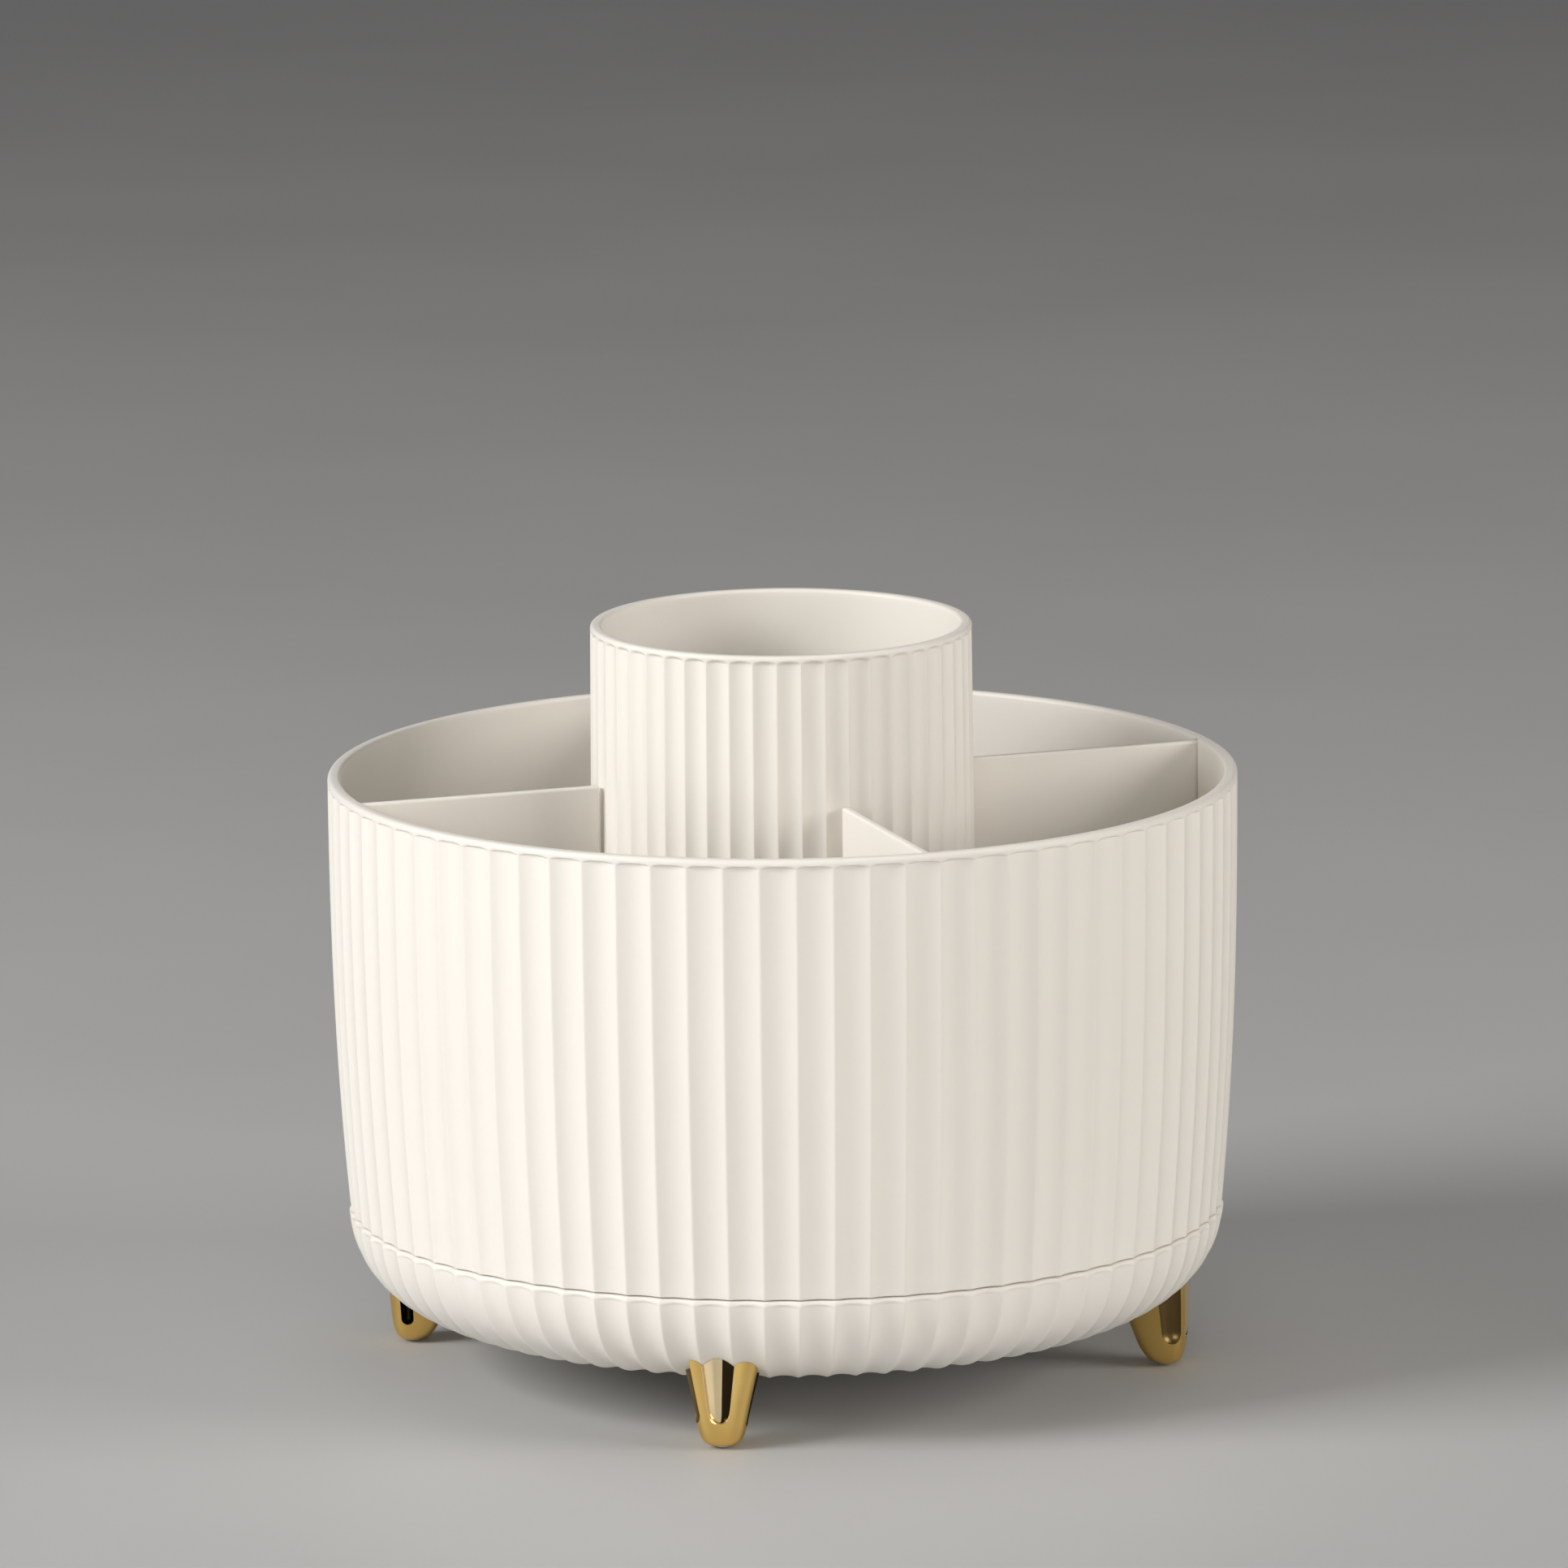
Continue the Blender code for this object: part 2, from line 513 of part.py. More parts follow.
def foot_body():
    """The tapering leg of one foot on +X, a loft of rounded sections from its tip up."""
    rings = []
    for z, inner, outer, half, square in FOOT_SECTIONS:
        centre, deep, k = (inner + outer) / 2, (outer - inner) / 2, 2.0 / square
        ring = []
        for i in range(FOOT_SIDES):
            a = 2 * math.pi * i / FOOT_SIDES
            c = math.copysign(abs(math.cos(a)) ** k, math.cos(a))
            s = math.copysign(abs(math.sin(a)) ** k, math.sin(a))
            ring.append((centre + deep * c, half * s * (1 + FOOT_TAPER * c), z))
        rings.append(ring)
    return loft(rings, "foot")


def foot_groove(x, y, top_r, low_r, z_end, lean=0.0, stretch=1.0):
    """A tapering round-ended flute: a cone standing at (x, y), and a ball at its lower end.
    A lean carries it outwards along y as it rises, and a stretch makes it deeper along y."""
    cone = cylinder(low_r * MM, z_end * MM, 21 * MM, (x * MM, y * MM), 12, top_r * MM)
    end = ball(low_r * 0.995 * MM, Vector((x * MM, y * MM, z_end * MM)), 12, 6)
    groove = boolean(cone, [end], "UNION")
    for v in groove.vertices:
        v.co.y = y * MM + (v.co.y - y * MM) * stretch + lean * (v.co.z - z_end * MM)
    groove.update()
    return groove


pocket = loft([[(outer_face(z) - RIB_SINK - 0.05, -half, z), (80.0, -half, z), (80.0, half, z), (outer_face(z) - RIB_SINK - 0.05, half, z)]
               for z, half, crest in RIB_SECTIONS], "pocket")
rib = loft([[(73.5, -(half - RIB_GAP), z + 0.1), (outer_face(z) - RIB_SINK, -(half - RIB_GAP), z + 0.1),
             (outer_face(z) + crest, -half * RIB_CREST, z + 0.1), (outer_face(z) + crest, half * RIB_CREST, z + 0.1),
             (outer_face(z) - RIB_SINK, half - RIB_GAP, z + 0.1), (73.5, half - RIB_GAP, z + 0.1)]
            for z, half, crest in RIB_SECTIONS], "rib")
foot = foot_body()
foot = boolean(foot, [pocket])
foot = boolean(foot, [rib], "UNION")
# a broad flute on the clockwise side and a narrow, deeper one on the other
foot = boolean(foot, [foot_groove(74.65, -6.8, 4.1, 3.15, 7.2, -0.252), foot_groove(72.2, 5.1, 1.5, 1.2, 5.0, 0.23, 1.8)])
bowl_clear = turned(
    [(0.0, 26 * MM)] + [(bowl(z * MM) + 0.32 * MM, z * MM) for z in BOWL_LEVELS]
    + [(BOWL_FLAT + 0.3 * MM, BASE_UNDER - 0.32 * MM), (0.0, BASE_UNDER - 0.32 * MM)], 80)
foot = boolean(foot, [bowl_clear])
foot = boolean(foot, [cylinder(3.0 * MM, 8.0 * MM, 17.3 * MM, (STEM_RADIUS_AT, 0), 16)], "UNION")
foot = boolean(foot, [
    cylinder(1.6 * MM, 8.5 * MM, 20 * MM, (STEM_RADIUS_AT, 0), 8),
    cylinder(2.1 * MM * 0.8, -1 * MM, 1.5 * MM, (71.9 * MM, 0), 12)])
for side, azimuth in FOOT_AZIMUTHS.items():
    ob = keep(moved(foot, about_z(azimuth)), "foot_" + side, GOLD, base)
    smooth(ob, 30)

copies("foot_washer", turned([(4.3 * MM, 0.7 * MM), (4.3 * MM, 0.0), (1.7 * MM, 0.0), (1.7 * MM, 0.7 * MM)], 16, closed=True),
      [Matrix.Translation(polar(STEM_RADIUS_AT, a, 17.9 * MM)) for a in FOOT_AZIMUTHS.values()], STEEL, base)
copies("foot_screw", fastener(3.1 * MM, 1.6 * MM, 1.25 * MM, 9.4 * MM),
      [Matrix.Translation(polar(STEM_RADIUS_AT, a, 18.9 * MM)) for a in FOOT_AZIMUTHS.values()], STEEL, base)
copies("foot_pad", cylinder(1.38 * MM, 0.0, 1.2 * MM, (71.9 * MM, 0), 12), [about_z(a) for a in FOOT_AZIMUTHS.values()], PAD, base)
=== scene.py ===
import json
import math

import bmesh
import bpy
import numpy as np
from mathutils import Matrix, Vector


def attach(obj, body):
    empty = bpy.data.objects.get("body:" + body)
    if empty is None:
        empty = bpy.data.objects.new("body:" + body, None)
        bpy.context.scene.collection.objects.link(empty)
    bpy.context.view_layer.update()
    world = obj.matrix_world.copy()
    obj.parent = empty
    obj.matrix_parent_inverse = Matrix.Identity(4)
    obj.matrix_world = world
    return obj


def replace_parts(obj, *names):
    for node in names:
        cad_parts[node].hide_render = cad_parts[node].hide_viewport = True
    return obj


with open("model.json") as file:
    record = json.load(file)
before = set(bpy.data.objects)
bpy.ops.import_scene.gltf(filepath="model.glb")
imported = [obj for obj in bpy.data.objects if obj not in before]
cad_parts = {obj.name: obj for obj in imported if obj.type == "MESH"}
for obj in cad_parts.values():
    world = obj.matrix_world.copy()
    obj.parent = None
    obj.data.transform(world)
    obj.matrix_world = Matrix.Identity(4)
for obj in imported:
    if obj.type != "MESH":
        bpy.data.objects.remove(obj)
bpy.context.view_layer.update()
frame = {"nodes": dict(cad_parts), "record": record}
MM = 0.001

# ------------------------------------------------------------------ the shapes that part.py sets
TUB_R, TUB_TOP, TUB_LOW = 85.0, 112.1, 29.85
TUB_PULL, TUB_POW, WALL = 3.0, 2.5, 2.4
FLUTES, FLUTE_D = 80, 0.75
FLOOR_TOP, FLOOR_UNDER, SKIRT_IN = 34.4, 31.8, 79.6
CUP_TOP, CUP_LOW = 140.0, 34.7
CUP_RT, CUP_RB, CUP_IT, CUP_IB = 35.6, 36.4, 33.4, 33.0
CUP_FLUTES, CUP_D, CUP_TURN = 50, 0.65, 1.09
DIV_AZ, DIV_T, DIV_TOP, DIV_LOW = -61.6, 1.6, 111.5, 34.25
BASE_TOP, BASE_LOW, BASE_FLOOR = 29.6, 11.0, 14.0
LIP_IN, LIP_OUT, LIP_TOP = 78.0, 79.2, 31.0
BOWL_Z, BOWL_H, BOWL_FLAT, BOWL_REACH, BOWL_POW = 32.0, 21.0, 60.0, 22.4, 2.25
FOOT_AZ = {"front": -90.0, "right": 0.0, "back": 90.0, "left": 180.0}
STEM_AT = 68.5


def tub_outer(z):
    u = np.clip((TUB_TOP - z) / (TUB_TOP - TUB_LOW), 0, None)
    return TUB_R - TUB_PULL * u ** TUB_POW


def cup_outer(z):
    return CUP_RB + (CUP_RT - CUP_RB) * (z - CUP_LOW) / (CUP_TOP - CUP_LOW)


def bowl(z):
    t = np.clip((BOWL_Z - z) / BOWL_H, 0, 1)
    return BOWL_FLAT + BOWL_REACH * (1 - t ** BOWL_POW) ** (1 / BOWL_POW)


# ------------------------------------------------------------------ mesh helpers (millimetres in, metres out)
def mesh_object(name, verts, faces):
    mesh = bpy.data.meshes.new(name)
    mesh.from_pydata([tuple(v) for v in np.asarray(verts) * MM], [], faces)
    mesh.update()
    ob = bpy.data.objects.new(name, mesh)
    bpy.context.scene.collection.objects.link(ob)
    return ob


def lathe_grid(name, rings):
    """A closed ring-shaped skin: rings is (rows, columns, 3), joined round in both directions."""
    rows, cols = rings.shape[:2]
    idx = np.arange(rows * cols).reshape(rows, cols)
    nxt_r = np.roll(idx, -1, axis=0)
    nxt_c = np.roll(idx, -1, axis=1)
    both = np.roll(nxt_r, -1, axis=1)
    faces = np.stack([idx, nxt_r, both, nxt_c], axis=-1).reshape(-1, 4)
    return mesh_object(name, rings.reshape(-1, 3), faces.tolist())


def open_grid(name, rings, cap_first=True, cap_last=True):
    """A skin closed round the columns, with flat caps on its first and last rows."""
    rows, cols = rings.shape[:2]
    idx = np.arange(rows * cols).reshape(rows, cols)
    a, b = idx[:-1], idx[1:]
    faces = np.stack([a, b, np.roll(b, -1, axis=1), np.roll(a, -1, axis=1)], axis=-1).reshape(-1, 4).tolist()
    if cap_first:
        faces.append(idx[0].tolist())
    if cap_last:
        faces.append(idx[-1][::-1].tolist())
    return mesh_object(name, rings.reshape(-1, 3), faces)


def outward(ob):
    bm = bmesh.new()
    bm.from_mesh(ob.data)
    bmesh.ops.remove_doubles(bm, verts=bm.verts, dist=1e-6)
    bmesh.ops.recalc_face_normals(bm, faces=bm.faces)
    if bm.calc_volume(signed=True) < 0:
        bmesh.ops.reverse_faces(bm, faces=bm.faces)
    bm.to_mesh(ob.data)
    bm.free()


def smooth(ob, degrees=40):
    ob.data.shade_smooth()
    ob.data.set_sharp_from_angle(angle=math.radians(degrees))


def apply_modifiers(ob):
    bpy.context.view_layer.update()
    mesh = bpy.data.meshes.new_from_object(ob.evaluated_get(bpy.context.evaluated_depsgraph_get()))
    old = ob.data
    ob.modifiers.clear()
    ob.data = mesh
    mesh.name = ob.name
    bpy.data.meshes.remove(old)


def cut(ob, tools, operation="DIFFERENCE"):
    for i, tool in enumerate(tools):
        mod = ob.modifiers.new("cut%d" % i, "BOOLEAN")
        mod.operation = operation
        mod.solver = "EXACT"
        mod.object = tool
        if tool.data.materials:
            mod.material_mode = "TRANSFER"
    apply_modifiers(ob)
    for tool in tools:
        bpy.data.objects.remove(tool, do_unlink=True)


def bevelled(ob, width, segments=3, angle=35):
    mod = ob.modifiers.new("round", "BEVEL")
    mod.width = width * MM
    mod.segments = segments
    mod.limit_method = "ANGLE"
    mod.angle_limit = math.radians(angle)
    mod.harden_normals = False
    apply_modifiers(ob)


def rod(radius, z0, z1, at=(0.0, 0.0), segments=48, radius_top=None):
    bm = bmesh.new()
    bmesh.ops.create_cone(
        bm, cap_ends=True, segments=segments, radius1=radius * MM,
        radius2=(radius if radius_top is None else radius_top) * MM, depth=(z1 - z0) * MM,
        matrix=Matrix.Translation((at[0] * MM, at[1] * MM, (z0 + z1) / 2 * MM)))
    mesh = bpy.data.meshes.new("rod")
    bm.to_mesh(mesh)
    bm.free()
    ob = bpy.data.objects.new("rod", mesh)
    bpy.context.scene.collection.objects.link(ob)
    return ob


def polar(radius, degrees):
    a = math.radians(degrees)
    return radius * math.cos(a), radius * math.sin(a)


def turned(name, profile, steps=96):
    """A turned solid of (radius, z) points round the outline, closed on itself or on the axis."""
    a = np.linspace(0, 2 * np.pi, steps, endpoint=False)
    pr = np.array(profile, float)
    rings = np.stack([np.outer(pr[:, 0], np.cos(a)), np.outer(pr[:, 0], np.sin(a)), np.repeat(pr[:, 1:2], steps, axis=1)], axis=-1)
    ob = lathe_grid(name, rings)
    outward(ob)
    return ob


def arc(cx, cz, r, a0, a1, n):
    """Points along an arc in the profile plane, angles in degrees from +radius."""
    return [(cx + r * math.cos(math.radians(a)), cz + r * math.sin(math.radians(a))) for a in np.linspace(a0, a1, n)]


# positions across one flute, from ridge to ridge, closer together at the ridge
FLUTE_T = np.array([0.0, 0.035, 0.09, 0.18, 0.30, 0.43, 0.57, 0.70, 0.82, 0.91, 0.965])


def flute_hollow(t, soft=0.03):
    """Depth across a flute, 0 on the ridge and 1 in the middle: a round hollow with the ridge just rounded off."""
    s = np.abs(2 * t - 1)
    edge = 1 - s
    edge = np.sqrt(edge ** 2 + soft ** 2) - soft
    edge = edge / (math.sqrt(1 + soft ** 2) - soft)
    return 1 - (1 - edge) ** 2


def flute_columns(count, phase_deg):
    """Azimuth of every column in radians, and where it lies across its flute."""
    k = np.arange(count)[:, None]
    step = 360.0 / count
    deg = phase_deg + (k + FLUTE_T[None, :] - 0.5) * step
    t = np.repeat(FLUTE_T[None, :], count, axis=0)
    return np.radians(deg).reshape(-1), t.reshape(-1)


def ring_from(r, z, a):
    """One row of points: r and z may each be a number or one value for each column."""
    r = np.broadcast_to(r, a.shape)
    z = np.broadcast_to(z, a.shape)
    return np.stack([r * np.cos(a), r * np.sin(a), z], axis=-1)


# ------------------------------------------------------------------ outer tub
def fluted_wall_rows(a, t, radius_of, top, low, depth, band, rise, rim_r, run, foot_depth=1.0):
    """Rows of the outside of a fluted wall, from the top of its rim down to its lower edge."""
    h = flute_hollow(t)
    rows = []
    for ang in (90, 72, 54, 36, 18, 0):      # the rim's outer rounding
        rows.append(ring_from(radius_of(top) - rim_r + rim_r * math.cos(math.radians(ang)), top - rim_r + rim_r * math.sin(math.radians(ang)), a))
    start = top - band + rise * h            # where each flute's end begins, higher in its middle
    rows.append(ring_from(radius_of(start), start, a))
    for s in (0.12, 0.3, 0.5, 0.7, 0.88, 1.0):
        share = math.sin(s * math.pi / 2) ** 1.4
        z = start - run * s
        rows.append(ring_from(radius_of(z) - depth * h * share, z, a))
    z_from = top - band - run - 0.6
    for z in np.concatenate([[z_from], np.linspace(z_from - 3.0, low + 4.0, 13), low + np.array([3.2, 2.4, 1.6, 0.9, 0.45])]):
        keep = foot_depth + (1 - foot_depth) * min(1.0, (z - low) / 3.2) ** 0.8
        rows.append(ring_from(radius_of(z) - depth * keep * h, z, a))
    for ang in (0, 30, 60, 90):              # the rounded lower edge
        e = 0.18
        z = low + e - e * math.sin(math.radians(ang))
        rows.append(ring_from(radius_of(low) - depth * foot_depth * h - e + e * math.cos(math.radians(ang)), z, a))
    return rows


def build_tub():
    a, t = flute_columns(FLUTES, 0.0)
    rows = fluted_wall_rows(a, t, tub_outer, TUB_TOP, TUB_LOW, FLUTE_D, 1.45, 0.32, 0.85, 0.42, 0.85)
    rows.append(ring_from(SKIRT_IN + 0.25, TUB_LOW, a))
    rows.append(ring_from(SKIRT_IN, TUB_LOW + 0.25, a))
    rows.append(ring_from(SKIRT_IN, FLOOR_UNDER, a))
    rows.append(ring_from(40.0, FLOOR_UNDER, a))
    rows.append(ring_from(10.3, FLOOR_UNDER, a))
    rows.append(ring_from(10.0, FLOOR_UNDER - 0.3, a))
    rows.append(ring_from(10.0, 28.3, a))
    rows.append(ring_from(9.7, 28.0, a))
    rows.append(ring_from(3.35, 28.0, a))
    rows.append(ring_from(3.35, 30.4, a))
    rows.append(ring_from(6.2, 30.4, a))
    rows.append(ring_from(6.2, FLOOR_TOP, a))
    rows.append(ring_from(30.0, FLOOR_TOP, a))
    corner = 2.6
    r_in = lambda z: tub_outer(z) - WALL
    r0 = r_in(FLOOR_TOP + corner)
    rows.append(ring_from(r0 - corner - 4, FLOOR_TOP, a))
    for ang in (-90, -75, -60, -45, -30, -15, 0):
        rows.append(ring_from(r0 - corner + corner * math.cos(math.radians(ang)), FLOOR_TOP + corner + corner * math.sin(math.radians(ang)), a))
    for z in np.linspace(FLOOR_TOP + corner + 4, TUB_TOP - 2.2, 12):
        rows.append(ring_from(r_in(z), z, a))
    e = 0.7
    r_top = r_in(TUB_TOP)
    for ang in (180, 162, 144, 126, 108, 90):
        rows.append(ring_from(r_top + e + e * math.cos(math.radians(ang)), TUB_TOP - e + e * math.sin(math.radians(ang)), a))
    ob = lathe_grid("tub_skin", np.array(rows))
    outward(ob)
    return ob


def upright(azimuth):
    return Matrix.Rotation(math.radians(azimuth), 4, "Z") @ Matrix.Rotation(math.radians(90), 4, "X")


def plate(name, outline, thickness, azimuth):
    curve = bpy.data.curves.new(name, "CURVE")
    curve.dimensions = "2D"
    curve.fill_mode = "BOTH"
    curve.extrude = thickness / 2 * MM
    spline = curve.splines.new("POLY")
    spline.points.add(len(outline) - 1)
    for point, (x, y) in zip(spline.points, outline):
        point.co = (x * MM, y * MM, 0.0, 1.0)
    spline.use_cyclic_u = True
    ob = bpy.data.objects.new(name + "_curve", curve)
    bpy.context.scene.collection.objects.link(ob)
    bpy.context.view_layer.update()
    mesh = bpy.data.meshes.new_from_object(ob.evaluated_get(bpy.context.evaluated_depsgraph_get()))
    bpy.data.objects.remove(ob, do_unlink=True)
    bm = bmesh.new()
    bm.from_mesh(mesh)
    bmesh.ops.remove_doubles(bm, verts=bm.verts, dist=1e-6)
    bmesh.ops.recalc_face_normals(bm, faces=bm.faces)
    bm.to_mesh(mesh)
    bm.free()
    mesh.transform(upright(azimuth))
    made = bpy.data.objects.new(name, mesh)
    bpy.context.scene.collection.objects.link(made)
    return made


def divider_outline(gap, bite, bottom, top, corner, steps=12):
    inner = lambda z: cup_outer(z) + gap
    outer = lambda z: tub_outer(z) - WALL + bite
    points = [(inner(bottom), bottom), (outer(bottom) - corner, bottom), (outer(bottom + corner * 0.9), bottom + corner * 1.3)]
    points += [(float(outer(z)), float(z)) for z in np.linspace(bottom + 6, top - 3, steps)]
    points += [(outer(top), top), (inner(top), top)]
    return points


DIVIDERS = {
    "divider_front_right": DIV_AZ, "divider_back_right": DIV_AZ + 90,
    "divider_back_left": DIV_AZ + 180, "divider_front_left": DIV_AZ + 270}


# ------------------------------------------------------------------ centre cup
def build_cup():
    a, t = flute_columns(CUP_FLUTES, CUP_TURN)
    rows = fluted_wall_rows(a, t, cup_outer, CUP_TOP, CUP_LOW, CUP_D, 1.15, 0.32, 0.7, 0.7)
    rows.append(ring_from(30.0, CUP_LOW, a))
    rows.append(ring_from(8.0, CUP_LOW, a))
    bottom = rows[-1]
    inner = [ring_from(8.0, CUP_LOW + 3.0, a), ring_from(26.0, CUP_LOW + 3.0, a)]
    corner = 2.4
    floor = CUP_LOW + 3.0
    r0 = CUP_IB
    for ang in (-90, -75, -60, -45, -30, -15, 0):
        inner.append(ring_from(r0 - corner + corner * math.cos(math.radians(ang)), floor + corner + corner * math.sin(math.radians(ang)), a))
    for z in np.linspace(floor + corner + 6, CUP_TOP - 1.6, 10):
        inner.append(ring_from(CUP_IB + (CUP_IT - CUP_IB) * (z - CUP_LOW) / (CUP_TOP - CUP_LOW), z, a))
    e = 0.7
    for ang in (180, 162, 144, 126, 108, 90):
        inner.append(ring_from(CUP_IT + e + e * math.cos(math.radians(ang)), CUP_TOP - e + e * math.sin(math.radians(ang)), a))
    # two skins joined at the rim, each closed in the middle by a fan
    cols = len(a)
    grid = np.array(inner + rows)
    n = len(grid)
    idx = np.arange(n * cols).reshape(n, cols)
    lo, hi = idx[:-1], idx[1:]
    faces = np.stack([lo, hi, np.roll(hi, -1, axis=1), np.roll(lo, -1, axis=1)], axis=-1).reshape(-1, 4).tolist()
    verts = grid.reshape(-1, 3).tolist()
    top_c = len(verts)
    verts.append([0, 0, CUP_LOW + 3.0])
    verts.append([0, 0, CUP_LOW])
    for j in range(cols):
        k = (j + 1) % cols
        faces.append([idx[0, j], idx[0, k], top_c])
        faces.append([idx[-1, k], idx[-1, j], top_c + 1])
    ob = mesh_object("cup_skin", verts, faces)
    outward(ob)
    return ob


# ------------------------------------------------------------------ base shell
def base_point(z, h, gap=0.0):
    """Radius and height of the fluted bowl at one height of its plain outline, h across the flute."""
    r = float(bowl(z))
    dz = 0.02
    slope = (float(bowl(z + dz)) - float(bowl(z - dz))) / (2 * dz)
    nr, nz = 1.0 / math.hypot(1.0, slope), -slope / math.hypot(1.0, slope)
    fade = min(1.0, max(0.0, (r - 60.5) / 11.0)) ** 0.9
    d = gap - FLUTE_D * fade * h
    return r + nr * d, z + nz * d


def bowl_levels(top, count):
    """Heights down the bowl, closer together towards its foot, where it turns under."""
    return BOWL_Z - BOWL_H * np.sin(np.linspace(math.asin((BOWL_Z - top) / BOWL_H), math.pi / 2 - 0.06, count))


def build_base():
    a, t = flute_columns(FLUTES, 0.0)
    h = flute_hollow(t)
    rows = []
    # the lip is a plain rounded bead, only slightly scalloped, and the flutes end under it in arcs
    back, bead_d = 0.5, 0.56
    start = BASE_TOP - 1.0 + 0.42 * h
    for ang in (90, 75, 60, 45, 30, 15, 0):
        c, d = math.cos(math.radians(ang)), math.sin(math.radians(ang))
        rows.append(ring_from(bowl(start) - back * (1 - c) - bead_d * h, start + (BASE_TOP - start) * d, a))
    for share in (0.2, 0.45, 0.7, 0.9, 1.0):
        z = start - 0.55 * share
        rows.append(ring_from(bowl(z) - (bead_d + (FLUTE_D - bead_d) * math.sin(share * math.pi / 2) ** 1.3) * h, z, a))
    zs = np.concatenate([np.linspace(BASE_TOP - 1.8, 20.0, 12), bowl_levels(19.0, 26)])
    for z in zs:
        r, low = base_point(z, h)
        rows.append(ring_from(r, low, a))
    rows.append(ring_from(BOWL_FLAT, BASE_LOW, a))
    rows.append(ring_from(30.0, BASE_LOW, a))
    rows.append(ring_from(0.05, BASE_LOW, a))
    rows.append(ring_from(0.05, BASE_FLOOR, a))
    rows.append(ring_from(62.0, BASE_FLOOR, a))
    for r, z in ((68.5, 15.2), (73.4, 17.5), (76.5, 20.5), (78.0, 24.5), (78.0, 30.6), (78.3, 31.0), (78.9, 31.0), (79.2, 30.7), (79.2, BASE_TOP + 0.15), (79.35, BASE_TOP)):
        rows.append(ring_from(r, z, a))
    ob = lathe_grid("base_skin", np.array(rows))
    outward(ob)
    return ob


# ------------------------------------------------------------------ feet
FOOT_SECTIONS = np.array([  # z, inner and outer radius from the axis, half width, how square
    (0.35, 69.9, 74.0, 2.3, 2.1), (0.75, 69.0, 74.7, 3.0, 2.2), (1.8, 68.0, 75.3, 3.85, 2.35),
    (3.6, 66.9, 75.75, 4.4, 2.5), (7.0, 65.6, 76.05, 5.1, 2.75), (11.5, 63.9, 76.2, 6.1, 3.0),
    (19.0, 60.8, 76.35, 7.9, 3.2)])
FOOT_TAPER = 0.12
RIB = np.array([  # z, half width of the rib's pocket, and how far its crest stands out
    (5.0, 0.6, -0.4), (5.25, 1.15, -0.29), (5.6, 1.5, -0.19), (6.2, 1.87, -0.06), (6.9, 2.1, 0.04), (8.0, 2.26, 0.11),
    (9.5, 2.42, 0.15), (12.0, 2.7, 0.15), (15.7, 3.1, 0.15), (20.0, 3.55, 0.15)])
RIB_GAP, RIB_SINK, RIB_CREST = 0.15, 0.5, 0.27


def eased(z, xs, ys):
    """A smooth curve through the points (xs, ys) that never overshoots them."""
    h = np.diff(xs)
    d = np.diff(ys) / h
    m = np.zeros_like(ys)
    m[0], m[-1] = d[0], d[-1]
    for i in range(1, len(xs) - 1):
        if d[i - 1] * d[i] > 0:
            w1, w2 = 2 * h[i] + h[i - 1], h[i] + 2 * h[i - 1]
            m[i] = (w1 + w2) / (w1 / d[i - 1] + w2 / d[i])
    i = int(np.clip(np.searchsorted(xs, z) - 1, 0, len(h) - 1))
    s = (z - xs[i]) / h[i]
    return ((1 + 2 * s) * (1 - s) ** 2 * ys[i] + s * (1 - s) ** 2 * h[i] * m[i]
            + s * s * (3 - 2 * s) * ys[i + 1] + s * s * (s - 1) * h[i] * m[i + 1])


def foot_ring(z, size=1.0, sides=96):
    inner, outer, half, square = [eased(z, FOOT_SECTIONS[:, 0], FOOT_SECTIONS[:, k]) for k in (1, 2, 3, 4)]
    a = np.linspace(0, 2 * np.pi, sides, endpoint=False)
    deep = (outer - inner) / 2
    reach = (np.abs(np.cos(a) / deep) ** square + np.abs(np.sin(a) / half) ** square) ** (-1 / square) * size
    x = reach * np.cos(a)
    return np.stack([(inner + outer) / 2 + x, reach * np.sin(a) * (1 + FOOT_TAPER * x / deep), np.full_like(a, z)], axis=-1)


def outer_face(z):
    return eased(z, FOOT_SECTIONS[:, 0], FOOT_SECTIONS[:, 2])


